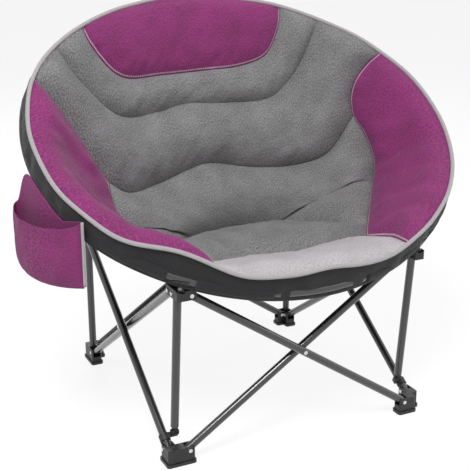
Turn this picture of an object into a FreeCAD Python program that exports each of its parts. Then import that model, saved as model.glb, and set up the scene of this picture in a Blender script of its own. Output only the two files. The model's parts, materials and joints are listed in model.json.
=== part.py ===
import FreeCAD, Part
import math
import os

# Folding saucer chair: a padded bowl on a ring of four tube arcs, carried by a
# scissor frame of eight crossed tubes. Millimetres, +Z up, the sitter faces -Y,
# origin on the floor under the centre of the ring.

os.makedirs("parts", exist_ok=True)

V = FreeCAD.Vector

# Driving sizes of the frame
TUBE_OD = 18.0
TUBE_WALL = 1.2
LEG_HALF = 287.0            # half the spacing of the corner posts, both ways
LEG_SHIFT = 30.0            # the leg square lies this far behind the ring's centre
FOOT_PIN_Z = 30.0
HUB_PIN_Z = 388.0
LANE = 18.6                 # sideways step between the two tubes of a scissor
PIN_INSET = 19.0            # pins stand this far inside the corner posts
FOLDED_HALF = 145.0         # half the post spacing when folded
POST_OUT = 2.0              # the front post's upper pin stands this far out
UPRIGHT_TOP = 824.0
UPRIGHT_CAP_TOP = 852.0

# Ring of the seat: an oval of arcs in a tilted plane
RING_HALF_WIDTH = 500.0
RING_HALF_DEPTH = 430.0
RING_SIDE_RADIUS = 385.0
RING_Z = 633.0
RING_TILT = 36.4            # degrees, the back stands high
LINK_HALF = 88.0            # half the spacing of the two front joints
SIDE_GAP = 15.0             # from the side joint's centre to each arc's end
TOP_GAP = 44.0              # from the middle of the back to each arc's end

# Pivots of the arcs, on the left side, and how far each one turns
FRONT_LUG_OUT = 23.0        # ahead of the front posts' middle plane
FRONT_LUG_UP = 14.0         # above the front hubs' pins
REAR_LUG_IN = 8.0           # ahead of the rear uprights' middle plane
REAR_LUG_UP = 17.7          # above the rear uprights' tops
FRONT_PIVOT = V(-LEG_HALF, LEG_SHIFT - LEG_HALF - FRONT_LUG_OUT, HUB_PIN_Z + FRONT_LUG_UP)
REAR_PIVOT = V(-LEG_HALF, LEG_SHIFT + LEG_HALF - REAR_LUG_IN, UPRIGHT_TOP + REAR_LUG_UP)
FRONT_PIVOT_AXIS = V(0.645, 0.334, -0.636)
REAR_PIVOT_AXIS = V(-0.583, 0.550, 0.526)

# Fits and small parts
PIN_R = 2.5
RUN = 0.06                  # radial clearance of a turning pin
SLOT_GAP = 0.5              # beside a tube in its fork
WALL = 3.1                  # plastic beside a slot
HEAD_R = 4.4
HEAD_T = 1.8
FOOT_BASE = 12.0
PAD_FLANGE = 3.0
PAD_T = 7.0
HUB_CAP = 12.1              # plastic above the hub's pins
SLIDE = 0.2                 # radial clearance of a sliding tube
COLLAR_HALF = 8.0
COLLAR_WALL = 2.5
COLLAR_EAR = 20.0           # from the tube's axis to the post's lower pin
COLLAR_REST = 24.0          # from the foot pin to the collar, along the tube
TONGUE_T = 8.0
LUG_T = 8.0
LUG_R = 7.0
LUG_GAP = 0.3
PIVOT_DEPTH = 13.0
LUG_ROOM = 11.0             # clear round a lug, on its own side of the pivot
CAP_WALL = 2.2
PLUG_OUT = 5.0              # a ring plug stands out of its tube
SADDLE_HALF = 17.0
SADDLE_WALL = 2.4
BOSS_R = 6.0
LINK_BORE = 1.2             # bore through the link's ball, along the joint's axis

# Soft goods
SLEEVE_WALL = 1.7
SOFT_GAP = 0.3
SHELL_T = 3.0
BOWL_DEPTH = 330.0
BOWL_LOW_V = -70.0          # where the bowl is deepest, along the ring's tilt
PAD_CROWN = 38.0
PAD_EDGE = 12.0
LIP_RISE = 2.2              # the flat front lip lies this much higher off the shell
RIM_SHARE = 0.955           # how far up towards the ring the wings' padding reaches
WING_SHARE = 0.60
WING_FLARE = 0.12
SEAM_SHARE = 0.008
SEAMS = (-0.80, -0.20, 0.38, 0.68, 0.93)      # cross seams, as shares of half the depth
SHELL_STATIONS = (-0.96, -0.86, -0.7, -0.5, -0.3, -0.1, 0.12, 0.35, 0.58, 0.78, 0.9, 0.96)

TR = TUBE_OD / 2
BORE = TR - TUBE_WALL
PIN_HOLE = PIN_R + RUN
PLUG_R = BORE - 0.05
RIM_INSET = TR + SOFT_GAP + SLEEVE_WALL + SOFT_GAP + SHELL_T
SCISSOR_W = 2 * (LEG_HALF - PIN_INSET)
SCISSOR_H = HUB_PIN_Z - FOOT_PIN_Z
TUBE_LENGTH = math.hypot(SCISSOR_W, SCISSOR_H)
REST_ANGLE = math.atan2(SCISSOR_W, SCISSOR_H)
FOLDED_ANGLE = math.asin(2 * (FOLDED_HALF - PIN_INSET) / TUBE_LENGTH)
TILT = math.radians(RING_TILT)
RING_C = V(0, 0, RING_Z)
RING_UP = V(0, math.cos(TILT), math.sin(TILT))
RING_N = V(0, -math.sin(TILT), math.cos(TILT))
RING_END_RADIUS = (
    (RING_HALF_WIDTH - RING_SIDE_RADIUS) ** 2
    + RING_HALF_DEPTH ** 2 - RING_SIDE_RADIUS ** 2
) / (2 * (RING_HALF_DEPTH - RING_SIDE_RADIUS))
RING_JOIN = math.atan2(
    RING_HALF_WIDTH - RING_SIDE_RADIUS, RING_END_RADIUS - RING_HALF_DEPTH
)
X, Y, Z = V(1, 0, 0), V(0, 1, 0), V(0, 0, 1)


def save(name, *solids):
    """Write one node, as one solid or a group of separate ones."""
    shape = solids[0] if len(solids) == 1 else Part.makeCompound(list(solids))
    shape.exportStep("parts/" + name + ".step")


def unit(v):
    return V(v).normalize()


def rod(start, end, radius):
    """Solid cylinder between two points."""
    run = end - start
    return Part.makeCylinder(radius, run.Length, start, unit(run))


def box(low, high):
    size = high - low
    return Part.makeBox(size.x, size.y, size.z, low)


def mirror_x(shape):
    return shape.mirror(V(0, 0, 0), X)


def ring_at(u, v, w=0.0):
    """Point in the ring's plane: u across, v up the tilt, w above the plane."""
    return RING_C + X * u + RING_UP * v + RING_N * w


def corner(sx, sy):
    """Where a corner post meets the floor."""
    return V(sx * LEG_HALF, LEG_SHIFT + sy * LEG_HALF, 0)


# Crossed tubes

def round_ends(start, end, across):
    """Block that leaves a tube's ends rounded about its end pins."""
    along = unit(end - start)
    high = unit(along.cross(across))
    bend = math.radians(60)
    tall = TR + 1
    out = (tall - TR * math.sin(bend)) / math.cos(bend)

    def at(origin, a, h):
        return origin + along * a + high * h - across * (TR + 2)

    corners = []
    arcs = []
    for origin, way in ((start, -1), (end, 1)):
        tip = [at(origin, way * TR * math.cos(bend), h * TR * math.sin(bend)) for h in (1, -1)]
        reach = way * (TR * math.cos(bend) - out * math.sin(bend))
        corners.append([at(origin, reach, h * tall) for h in (1, -1)])
        arcs.append((tip, at(origin, way * TR, 0)))
    (tip_a, mid_a), (tip_b, mid_b) = arcs
    (a1, a2), (b1, b2) = corners
    edges = [Part.Arc(tip_a[0], mid_a, tip_a[1]).toShape(), Part.makeLine(tip_a[1], a2),
             Part.makeLine(a2, b2), Part.makeLine(b2, tip_b[1]),
             Part.Arc(tip_b[1], mid_b, tip_b[0]).toShape(), Part.makeLine(tip_b[0], b1),
             Part.makeLine(b1, a1), Part.makeLine(a1, tip_a[0])]
    return Part.Face(Part.Wire(edges)).extrude(across * (TUBE_OD + 4))


def cross_tube(start, end, across):
    """Hollow tube with ends rounded about its pins and holes for three pins."""
    along = unit(end - start)
    side = unit(across)
    tube = rod(start - along * TR, end + along * TR, TR)
    tube = tube.cut(rod(start - along * TUBE_OD, end + along * TUBE_OD, BORE))
    tube = tube.common(round_ends(start, end, side))
    for hole in (start, end, (start + end) * 0.5):
        tube = tube.cut(rod(hole - side * TUBE_OD, hole + side * TUBE_OD, PIN_HOLE))
    return tube.Solids[0]


def rivet(start, end):
    """Pin with a round head at both ends, the heads outside start and end."""
    way = unit(end - start)
    pin = rod(start, end, PIN_R)
    for seat, out in ((start, way * -1), (end, way)):
        pin = pin.fuse(rod(seat, seat + out * HEAD_T, HEAD_R))
    return pin


def scissor_points(name):
    """Lower and upper pin of one crossed tube, and the way across its lanes."""
    foot, hub, lane_way, lane = SCISSORS[name]
    a, b = corner(*foot), corner(*hub)
    along = unit(b - a)
    shift = lane_way * (LANE * lane)
    low = a + along * PIN_INSET + shift + Z * FOOT_PIN_Z
    top = b - along * PIN_INSET + shift + Z * HUB_PIN_Z
    return low, top


# foot corner, hub corner, outward way of the scissor's plane, lane (1 is the outer one)
SCISSORS = {
    "front_cross_inner": ((-1, -1), (1, -1), V(0, -1, 0), 0),
    "front_cross_outer": ((1, -1), (-1, -1), V(0, -1, 0), 1),
    "rear_cross_outer": ((-1, 1), (1, 1), V(0, 1, 0), 1),
    "rear_cross_inner": ((1, 1), (-1, 1), V(0, 1, 0), 0),
    "left_cross_outer": ((-1, -1), (-1, 1), V(-1, 0, 0), 1),
    "left_cross_inner": ((-1, 1), (-1, -1), V(-1, 0, 0), 0),
    "right_cross_outer": ((1, -1), (1, 1), V(1, 0, 0), 1),
    "right_cross_inner": ((1, 1), (1, -1), V(1, 0, 0), 0),
}


def make_crosses():
    for name, (_, _, out, _) in SCISSORS.items():
        low, top = scissor_points(name)
        save(name, cross_tube(low, top, out))
    for side in ("front", "rear", "left", "right"):
        low, top = scissor_points(side + "_cross_inner")
        out = SCISSORS[side + "_cross_inner"][2]
        middle = (low + top) * 0.5
        save(side + "_cross_rivet",
             rivet(middle - out * (TR + RUN), middle + out * (LANE + TR + RUN)))


# Feet and hubs: an L of two forks, one for each tube that is pinned there

def forks(sx, sy, at_foot):
    """(pin point, inward way of the tube, outward way of its plane) at a corner."""
    found = []
    for name, (foot, hub, out, _) in SCISSORS.items():
        low, top = scissor_points(name)
        if at_foot and foot == (sx, sy):
            found.append((low, unit(corner(*hub) - corner(*foot)), out))
        if not at_foot and hub == (sx, sy):
            found.append((top, unit(corner(*foot) - corner(*hub)), out))
    return found


def bar(pin, inward, out, low_z, high_z, grow=0.0):
    """Block along one fork, from outside the corner to past the pin."""
    half = TR + SLOT_GAP + WALL + grow
    a = pin - inward * (PIN_INSET + half) - out * half
    b = pin + inward * (TR + WALL + grow) + out * half
    low = V(min(a.x, b.x), min(a.y, b.y), low_z)
    high = V(max(a.x, b.x), max(a.y, b.y), high_z)
    return box(low, high)


def slot(pin, inward, out, low_z, high_z, behind=TR + SLOT_GAP):
    """Room for one tube end, open inwards."""
    half = TR + SLOT_GAP
    a = pin - inward * behind - out * half
    b = pin + inward * 80 + out * half
    low = V(min(a.x, b.x), min(a.y, b.y), low_z)
    high = V(max(a.x, b.x), max(a.y, b.y), high_z)
    return box(low, high)


def rounded(block, radius):
    """Round the outward upright edges of a block whose sides are wide enough."""
    chosen = []
    for edge in block.Edges:
        if abs(edge.tangentAt(edge.FirstParameter).z) < 0.99:
            continue
        sides = block.ancestorsOfType(edge, Part.Face)
        widths = [math.hypot(f.BoundBox.XLength, f.BoundBox.YLength) for f in sides]
        middle = edge.CenterOfMass
        filled = [block.isInside(middle + V(i, j, 0), 1e-4, False)
                  for i in (-1, 1) for j in (-1, 1)]
        if min(widths) > 2.2 * radius and sum(filled) == 1:
            chosen.append(edge)
    return block.makeFillet(radius, chosen)


def fork_rivets(ends):
    reach = TR + SLOT_GAP + WALL
    return [rivet(pin - out * reach, pin + out * reach) for pin, _, out in ends]


def fork_holes(block, ends):
    for pin, _, out in ends:
        block = block.cut(rod(pin - out * 60, pin + out * 60, PIN_HOLE))
    return block


def post_axis(sx, sy):
    base = corner(sx, sy)
    return base, base + Z * UPRIGHT_TOP


def reach_behind(pin, sx, sy):
    """A slot in line with a rear upright runs on into the upright's bore."""
    base = corner(sx, sy)
    in_line = abs(pin.x - base.x) < 1 or abs(pin.y - base.y) < 1
    return PIN_INSET if sy > 0 and in_line else TR + SLOT_GAP


def make_foot(name, sx, sy):
    ends = forks(sx, sy, True)
    body = pad = None
    for pin, inward, out in ends:
        block = bar(pin, inward, out, 0, FOOT_PIN_Z + TR)
        flange = bar(pin, inward, out, 0, PAD_T, PAD_FLANGE)
        body = block if body is None else body.fuse(block)
        pad = flange if pad is None else pad.fuse(flange)
    body = rounded(body.removeSplitter(), 5).fuse(rounded(pad.removeSplitter(), 7))
    for pin, inward, out in ends:
        body = body.cut(slot(pin, inward, out, FOOT_PIN_Z - TR - SLOT_GAP, HUB_PIN_Z,
                             reach_behind(pin, sx, sy)))
    body = fork_holes(body, ends)
    pins = fork_rivets(ends)
    if sy > 0:
        low, high = post_axis(sx, sy)
        body = body.cut(rod(low + Z * FOOT_BASE, high, TR + RUN))
    save(name, body.Solids[0])
    save(name + "_pins", *pins)


def make_hub(name, sx, sy):
    ends = forks(sx, sy, False)
    low_z, high_z = HUB_PIN_Z - TR, HUB_PIN_Z + HUB_CAP
    body = None
    for pin, inward, out in ends:
        block = bar(pin, inward, out, low_z, high_z)
        body = block if body is None else body.fuse(block)
    low, high = post_axis(sx, sy)
    room = TR + SLOT_GAP
    reach = room + WALL
    if sy < 0:
        pivot, axis = arc_pivot(FRONT_PIVOT, FRONT_PIVOT_AXIS, sx)
        body = body.fuse(box(V(low.x - reach, pivot.y - reach + 4, low_z),
                             V(low.x + reach, low.y, high_z)))
    body = rounded(body.removeSplitter(), 4)
    pins = fork_rivets(ends)
    if sy < 0:
        body = body.fuse(rod(pivot, pivot + axis * PIVOT_DEPTH, BOSS_R))
        body = seat_lug(body, pivot, axis, LUG_ROOM)
        top = V(low.x, low.y - POST_OUT, HUB_PIN_Z)
        body = body.cut(box(top - V(room, room, 60), top + V(room, room + 4, room)))
        body = body.cut(rod(top - X * 60, top + X * 60, PIN_HOLE))
        out_x = X * sx
        post_pin = rod(top - out_x * TR, top + out_x * reach, PIN_R)
        pins.append(post_pin.fuse(rod(top + out_x * reach, top + out_x * (reach + HEAD_T),
                                      HEAD_R)))
        pins.append(pivot_pin(pivot, axis, PIVOT_DEPTH))
    else:
        body = body.fuse(rod(V(low.x, low.y, low_z), V(low.x, low.y, high_z + 6),
                             TR + SLIDE + WALL))
        body = body.cut(rod(low, high + Z * 60, TR + SLIDE))
    for pin, inward, out in ends:
        body = body.cut(slot(pin, inward, out, 0, HUB_PIN_Z + room,
                             reach_behind(pin, sx, sy)))
    body = fork_holes(body, ends)
    save(name, body.Solids[0])
    save(name + "_pins", *pins)


def seat_lug(body, pivot, axis, room):
    """Slanted face that a saddle's lug bears on, with the hole for its pin."""
    body = body.cut(rod(pivot - axis * 40, pivot + axis * (LUG_T / 2 + LUG_GAP), room))
    return body.cut(rod(pivot, pivot + axis * PIVOT_DEPTH, PIN_R + 0.05))


def pivot_pin(pivot, axis, depth):
    """Headed pin through a saddle's lug and into its boss."""
    seat = pivot - axis * (LUG_T / 2 + LUG_GAP)
    return rod(seat, pivot + axis * (depth - 0.5), PIN_R).fuse(
        rod(seat - axis * HEAD_T, seat, HEAD_R))


def arc_pivot(pivot, axis, sx):
    """Pivot point and axis of one arc: the left ones are as written."""
    axis = unit(axis)
    if sx < 0:
        return V(pivot), axis
    return V(-pivot.x, pivot.y, pivot.z), V(-axis.x, axis.y, axis.z)


# Front posts with the collars they stand on, and rear uprights

def collar_points(sx):
    """Collar centre on its tube, the tube's way, the post's lower pin."""
    side = "left" if sx < 0 else "right"
    low, top = scissor_points(side + "_cross_outer")
    along = unit(top - low)
    centre = low + along * COLLAR_REST
    rise = unit(V(0, -along.z, along.y))
    pin = centre + rise * COLLAR_EAR
    pin.x = corner(sx, -1).x
    return centre, along, rise, pin


def make_front_post(name, sx):
    top = corner(sx, -1) + V(0, -POST_OUT, HUB_PIN_Z)
    _, _, _, pin = collar_points(sx)
    way = unit(pin - top)
    tube_end = pin - way * 14
    post = rod(top - way * TR, tube_end, TR)
    post = post.cut(rod(top - way * 20, tube_end + way * 5, BORE))
    post = post.common(round_ends(top, tube_end + way * 30, X))
    post = post.cut(rod(top - X * 20, top + X * 20, PIN_HOLE))
    across = unit(way.cross(X))
    plug = rod(tube_end - way * 16, tube_end, PLUG_R)
    tongue = Part.makeBox(TONGUE_T, 14.0, 14.0)
    tongue.Placement = FreeCAD.Placement(
        tube_end - X * (TONGUE_T / 2) - across * 7,
        FreeCAD.Rotation(X, across * 1, way * 1, "XYZ"),
    )
    tongue = tongue.fuse(rod(pin - X * (TONGUE_T / 2), pin + X * (TONGUE_T / 2), 7))
    tongue = tongue.fuse(plug)
    tongue = tongue.cut(rod(pin - X * 20, pin + X * 20, PIN_HOLE))
    save(name, post.Solids[0])
    save(name + "_plug", tongue.Solids[0])


def make_collar(name, sx):
    centre, along, rise, pin = collar_points(sx)
    inner = V(-sx, 0, 0)
    sleeve_r = TR + SLIDE + COLLAR_WALL
    body = rod(centre - along * COLLAR_HALF, centre + along * COLLAR_HALF, sleeve_r)
    ear_gap = TONGUE_T / 2 + 0.3
    ear_t = 3.0
    web = Part.makeBox(LANE + ear_gap + ear_t, 3.0, 2 * COLLAR_HALF - 4)
    web.Placement = FreeCAD.Placement(
        centre - along * (COLLAR_HALF - 2) + rise * (TR + SLIDE + 0.4),
        FreeCAD.Rotation(inner, inner.cross(along) * -1, along, "XYZ"),
    )
    if (web.CenterOfMass - centre).dot(rise) < TR:
        web.translate(rise * 3.0)
    body = body.fuse(web)
    for side in (-1, 1):
        a = pin + X * (side * ear_gap)
        b = pin + X * (side * (ear_gap + ear_t))
        ear = rod(a, b, 7.5)
        neck = Part.makeBox(ear_t, 2 * (COLLAR_HALF - 3), COLLAR_EAR - TR - 1)
        neck.Placement = FreeCAD.Placement(
            V(min(a.x, b.x), 0, 0) + V(0, (centre - along * (COLLAR_HALF - 3)).y,
                                       (centre - along * (COLLAR_HALF - 3)).z)
            + rise * (TR + 1),
            FreeCAD.Rotation(X, along, rise, "XYZ"),
        )
        body = body.fuse(ear).fuse(neck)
    body = body.cut(rod(centre - along * 40, centre + along * 40, TR + SLIDE))
    keep_out = 8.0
    body = body.cut(rod(pin - X * ear_gap, pin + X * ear_gap, keep_out))
    body = body.cut(rod(pin - X * 30, pin + X * 30, PIN_HOLE))
    reach = ear_gap + ear_t
    save(name, body.removeSplitter().Solids[0],
         rivet(pin - X * reach, pin + X * reach))


def make_upright(name, sx):
    low, high = post_axis(sx, 1)
    tube = rod(low + Z * (FOOT_BASE + 0.2), high, TR)
    tube = tube.cut(rod(low, high + Z, BORE))
    save(name, tube.Solids[0])
    pivot, axis = arc_pivot(REAR_PIVOT, REAR_PIVOT_AXIS, sx)
    cap_gap = 0.1
    cap = rod(high - Z * 22, V(high.x, high.y, UPRIGHT_CAP_TOP), TR + cap_gap + CAP_WALL)
    cap = cap.cut(rod(high - Z * 40, high, TR + cap_gap))
    cap = seat_lug(cap, pivot, axis, LUG_R + 3)
    save(name + "_cap", cap.Solids[0], pivot_pin(pivot, axis, PIVOT_DEPTH))


# Ring: arcs of round tube in the tilted plane

def ring_point(psi, v_side):
    """Point where the oval's normal makes the angle psi with its short axis."""
    if psi <= RING_JOIN:
        u = RING_END_RADIUS * math.sin(psi)
        v = RING_END_RADIUS * math.cos(psi) - (RING_END_RADIUS - RING_HALF_DEPTH)
    else:
        u = RING_HALF_WIDTH - RING_SIDE_RADIUS + RING_SIDE_RADIUS * math.sin(psi)
        v = RING_SIDE_RADIUS * math.cos(psi)
    return u, v_side * v


def ring_tube(psi_a, psi_b, v_side, outer, inner, shift_w=0.0):
    """Round tube along the left half of the oval between two normal angles."""
    pieces = []
    join = RING_JOIN
    spans = [(psi_a, min(psi_b, join), 0.0, RING_END_RADIUS - RING_HALF_DEPTH,
              RING_END_RADIUS),
             (max(psi_a, join), psi_b, RING_HALF_WIDTH - RING_SIDE_RADIUS, 0.0,
              RING_SIDE_RADIUS)]
    for a, b, cu, cv, radius in spans:
        if b - a < 1e-6:
            continue
        centre = ring_at(-cu, -v_side * cv, shift_w)
        u, v = ring_point(a, v_side)
        start = ring_at(-u, v, shift_w)
        tangent = unit(RING_N.cross(start - centre))
        turn = 1.0 if tangent.dot(V(-1, 0, 0)) > 0 else -1.0
        ring = Part.Wire(Part.makeCircle(outer, start, tangent))
        face = Part.Face(ring)
        if inner > 0:
            hole = Part.Face(Part.Wire(Part.makeCircle(inner, start, tangent)))
            face = face.cut(hole).Faces[0]
        angle = math.degrees(b - a)
        pieces.append(face.revolve(centre, RING_N * turn, angle))
    whole = pieces[0]
    for piece in pieces[1:]:
        whole = whole.fuse(piece)
    return whole.removeSplitter().Solids[0]


PSI_LINK = math.asin(LINK_HALF / RING_END_RADIUS)
PSI_CORNER = math.asin(LEG_HALF / RING_END_RADIUS)
SIDE_ANGLE = math.pi / 2 - SIDE_GAP / RING_SIDE_RADIUS
PSI_TOP = TOP_GAP / RING_END_RADIUS
KNUCKLE_GAP = 8.0
BALL_R = 5.5


def saddle(pivot, axis, v_side, gap):
    """Half sleeve under the ring tube, with a lug on the pivot."""
    swing = SADDLE_HALF / RING_END_RADIUS
    shell = ring_tube(PSI_CORNER - swing, PSI_CORNER + swing, v_side,
                      TR + gap + SADDLE_WALL, TR + gap)
    u, v = ring_point(PSI_CORNER, v_side)
    middle = ring_at(-u, v)
    toward = unit(pivot - middle)
    lug = rod(pivot - axis * (LUG_T / 2), pivot + axis * (LUG_T / 2), LUG_R)
    neck = rod(middle + toward * (TR - 1), pivot, 5.0)
    body = shell.fuse(neck).fuse(lug)
    swing_cut = ring_tube(PSI_CORNER - 2 * swing, PSI_CORNER + 2 * swing, v_side,
                          TR + gap, 0)
    body = body.cut(swing_cut)
    far = body.common(rod(middle + toward * 1.5, middle + toward * 60, 60))
    # the boss that holds the pin stands beyond the lug's face
    far = far.cut(rod(pivot + axis * (LUG_T / 2), pivot + axis * 30, LUG_R + 4))
    far = far.cut(rod(pivot - axis * 30, pivot - axis * (LUG_T / 2), HEAD_R + 0.6))
    return far.cut(rod(pivot - axis * 20, pivot + axis * 20, PIN_HOLE)).Solids[0]


def make_arcs():
    front_start = PSI_LINK + KNUCKLE_GAP / RING_END_RADIUS
    front = ring_tube(front_start, SIDE_ANGLE, -1, TR, BORE)
    rear = ring_tube(PSI_TOP, SIDE_ANGLE, 1, TR, BORE)
    pivot, axis = arc_pivot(FRONT_PIVOT, FRONT_PIVOT_AXIS, -1)
    front_saddle = saddle(pivot, axis, -1, 0.1)
    pivot, axis = arc_pivot(REAR_PIVOT, REAR_PIVOT_AXIS, -1)
    rear_saddle = saddle(pivot, axis, 1, 0.1)
    side_out = PLUG_OUT / RING_SIDE_RADIUS
    end_out = PLUG_OUT / RING_END_RADIUS
    side_plug = ring_tube(SIDE_ANGLE - 0.04, SIDE_ANGLE + side_out, -1, PLUG_R, 0)
    rear_plug = ring_tube(SIDE_ANGLE - 0.04, SIDE_ANGLE + side_out / 3, 1, PLUG_R, 0)
    top_plug = ring_tube(PSI_TOP - end_out, PSI_TOP + 0.03, 1, PLUG_R, 0)
    ball_seat = (BALL_R + SOFT_GAP) / RING_END_RADIUS
    link_plug = ring_tube(PSI_LINK + ball_seat, front_start + 0.03, -1, PLUG_R, 0)
    for name, flip in (("left", lambda s: s), ("right", mirror_x)):
        save("front_arc_" + name, flip(front))
        save("rear_arc_" + name, flip(rear))
        save("front_arc_fittings_" + name, flip(front_saddle), flip(side_plug),
             flip(link_plug))
        save("rear_arc_fittings_" + name, flip(rear_saddle), flip(rear_plug),
             flip(top_plug))


def make_link():
    """Short tube between the two front joints, with a ball plug at each end."""
    left_end = PSI_LINK - 11 / RING_END_RADIUS
    right_end = PSI_LINK - 18 / RING_END_RADIUS
    left = ring_tube(0, left_end, -1, TR, BORE)
    right = mirror_x(ring_tube(0, right_end, -1, TR, BORE))
    save("front_link", left.fuse(right).removeSplitter().Solids[0])
    u, v = ring_point(PSI_LINK, -1)
    ball_at = ring_at(-u, v)
    root_u, root_v = ring_point(left_end, -1)
    plug = ring_tube(left_end - 0.03, left_end + 0.008, -1, PLUG_R, 0)
    root = ring_at(-root_u, root_v)
    ball = Part.makeSphere(BALL_R, ball_at, unit(root - ball_at), -90, 90, 360)
    ball = ball.fuse(rod(ball_at, root, BALL_R - 2)).fuse(plug)
    swing = unit(FRONT_PIVOT_AXIS) * (BALL_R + 2)
    ball = ball.cut(rod(ball_at - swing, ball_at + swing, LINK_BORE))
    stub = mirror_x(ring_tube(right_end - 0.03, right_end + 0.008, -1, PLUG_R, 0))
    save("front_link_plugs", ball.Solids[0], stub)


# Soft goods

def make_sleeves():
    inner = TR + SOFT_GAP
    outer = inner + SLEEVE_WALL
    cut = 30 / RING_END_RADIUS
    front_start = PSI_LINK + 22 / RING_END_RADIUS
    front_low = ring_tube(front_start, PSI_CORNER - cut, -1, outer, inner)
    front_high = ring_tube(PSI_CORNER + cut, SIDE_ANGLE, -1, outer, inner)
    rear_low = ring_tube(PSI_CORNER + cut, SIDE_ANGLE, 1, outer, inner)
    rear_high = ring_tube(PSI_TOP, PSI_CORNER - cut, 1, outer, inner)
    for name, flip in (("left", lambda s: s), ("right", mirror_x)):
        save("front_sleeve_" + name, flip(front_low), flip(front_high))
        save("rear_sleeve_" + name, flip(rear_low), flip(rear_high))


def half_width(v, inset):
    """Half width, at a height v up the tilt, of the oval drawn in by an inset."""
    end = RING_END_RADIUS - inset
    side = RING_SIDE_RADIUS - inset
    high = abs(v)
    if high <= side * math.cos(RING_JOIN):
        return RING_HALF_WIDTH - RING_SIDE_RADIUS + math.sqrt(side ** 2 - high ** 2)
    rise = high + RING_END_RADIUS - RING_HALF_DEPTH
    return math.sqrt(end ** 2 - rise ** 2)


def bowl_depth(v):
    """Depth of the shell's inner face below the ring's plane on the middle line."""
    if v < BOWL_LOW_V:
        share = (BOWL_LOW_V - v) / (BOWL_LOW_V + RING_HALF_DEPTH)
        return BOWL_DEPTH * (1 - share ** 1.25)
    share = (v - BOWL_LOW_V) / (RING_HALF_DEPTH - BOWL_LOW_V)
    return BOWL_DEPTH * (1 - share ** 1.35)


def bowl_point(v, share, lift):
    """Point at a share of the way from the middle to the rim, lifted off the shell."""
    a = half_width(v, RIM_INSET)
    d = bowl_depth(v)
    radius = (a * a + d * d) / (2 * d)
    turn = share * 2 * math.atan2(d, a)
    reach = radius - lift
    return ring_at(reach * math.sin(turn), v, radius - d - reach * math.cos(turn))


def arc_through(v, ends, lifts):
    """Arc over the bowl at height v: its ends' shares, and lifts at end, middle, end."""
    shares = (ends[0], (ends[0] + ends[1]) / 2, ends[1])
    return Part.Arc(*[bowl_point(v, s, h) for s, h in zip(shares, lifts)]).toShape()


def shell_section(v):
    """Strip of the hanging shell across the ring at height v."""
    inner = arc_through(v, (-1, 1), (0, 0, 0))
    outer = arc_through(v, (1, -1), (-SHELL_T, -SHELL_T, -SHELL_T))
    right = Part.makeLine(bowl_point(v, 1, 0), bowl_point(v, 1, -SHELL_T))
    left = Part.makeLine(bowl_point(v, -1, -SHELL_T), bowl_point(v, -1, 0))
    return Part.Wire([inner, right, outer, left])


def room_section(v):
    """Space over the shell at height v that the padding may fill."""
    lift = 3 * SOFT_GAP
    low = arc_through(v, (-1, 1), (lift, lift, lift))
    left, right = bowl_point(v, -1, lift), bowl_point(v, 1, lift)
    up = RING_N * 60
    return Part.Wire([low, Part.makeLine(right, right + up),
                      Part.makeLine(right + up, left + up), Part.makeLine(left + up, left)])


def panel_section(v, ends, crown):
    """Padded strip at height v: sunk at its edges and crowned in its middle."""
    low = arc_through(v, ends, (-2, -2, -2))
    left, right = [(bowl_point(v, e, -2), bowl_point(v, e, PAD_EDGE)) for e in ends]
    high = arc_through(v, (ends[1], ends[0]), (PAD_EDGE, crown, PAD_EDGE))
    return Part.Wire([low, Part.makeLine(*right), high, Part.makeLine(left[1], left[0])])


def padded_panel(room, low_v, high_v, count, edges, crown):
    """Loft of strips up the tilt, crowned both ways, resting in the bowl."""
    wires = []
    for i in range(count):
        t = i / (count - 1)
        swell = math.sin(math.pi * (t * 0.84 + 0.08))
        v = low_v + (high_v - low_v) * t
        wires.append(panel_section(v, edges(v), PAD_EDGE + (crown - PAD_EDGE) * swell))
    return Part.makeLoft(wires, True, False).common(room).Solids[0]


def middle_share(v):
    """Share of the half width at which the middle panels meet the wings."""
    return WING_SHARE + WING_FLARE * (v / RING_HALF_DEPTH) ** 2


def middle_edges(v):
    edge = middle_share(v) - SEAM_SHARE
    return -edge, edge


def wing_edges(v):
    return -RIM_SHARE, -middle_share(v) - SEAM_SHARE


def make_soft():
    depth = RING_HALF_DEPTH
    heights = [s * depth for s in SHELL_STATIONS]
    shell = Part.makeLoft([shell_section(v) for v in heights], True, False)
    past = RING_HALF_WIDTH * 2
    half = shell.common(box(V(-past, -past, 0), V(-SOFT_GAP, past, past * 2))).Solids[0]
    save("seat_shell_left", half)
    save("seat_shell_right", mirror_x(half))
    room = Part.makeLoft([room_section(v) for v in heights], True, False)
    seam = SEAM_SHARE * depth
    low, seat_top, channel, back_top, high = [s * depth for s in SEAMS]
    rim = depth * SHELL_STATIONS[0]
    seat = padded_panel(room, low + seam, seat_top - seam, 5, middle_edges, PAD_CROWN)
    lower = padded_panel(room, seat_top + seam, channel - seam, 5, middle_edges, PAD_CROWN)
    upper = padded_panel(room, channel + seam, back_top - seam, 4, middle_edges, PAD_CROWN)
    head = padded_panel(room, back_top + seam, high, 4, middle_edges, PAD_CROWN * 0.7)
    lip_room = room.translated(RING_N * LIP_RISE)
    lip = padded_panel(lip_room, rim + 6, low - seam, 3, middle_edges, PAD_EDGE)
    wing = padded_panel(room, low, back_top, 7, wing_edges, PAD_CROWN * 0.7)
    save("seat_cushion", seat)
    save("back_cushion", lower, upper)
    save("head_panel", head)
    save("front_lip", lip)
    save("side_wings", wing, mirror_x(wing))


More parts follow.
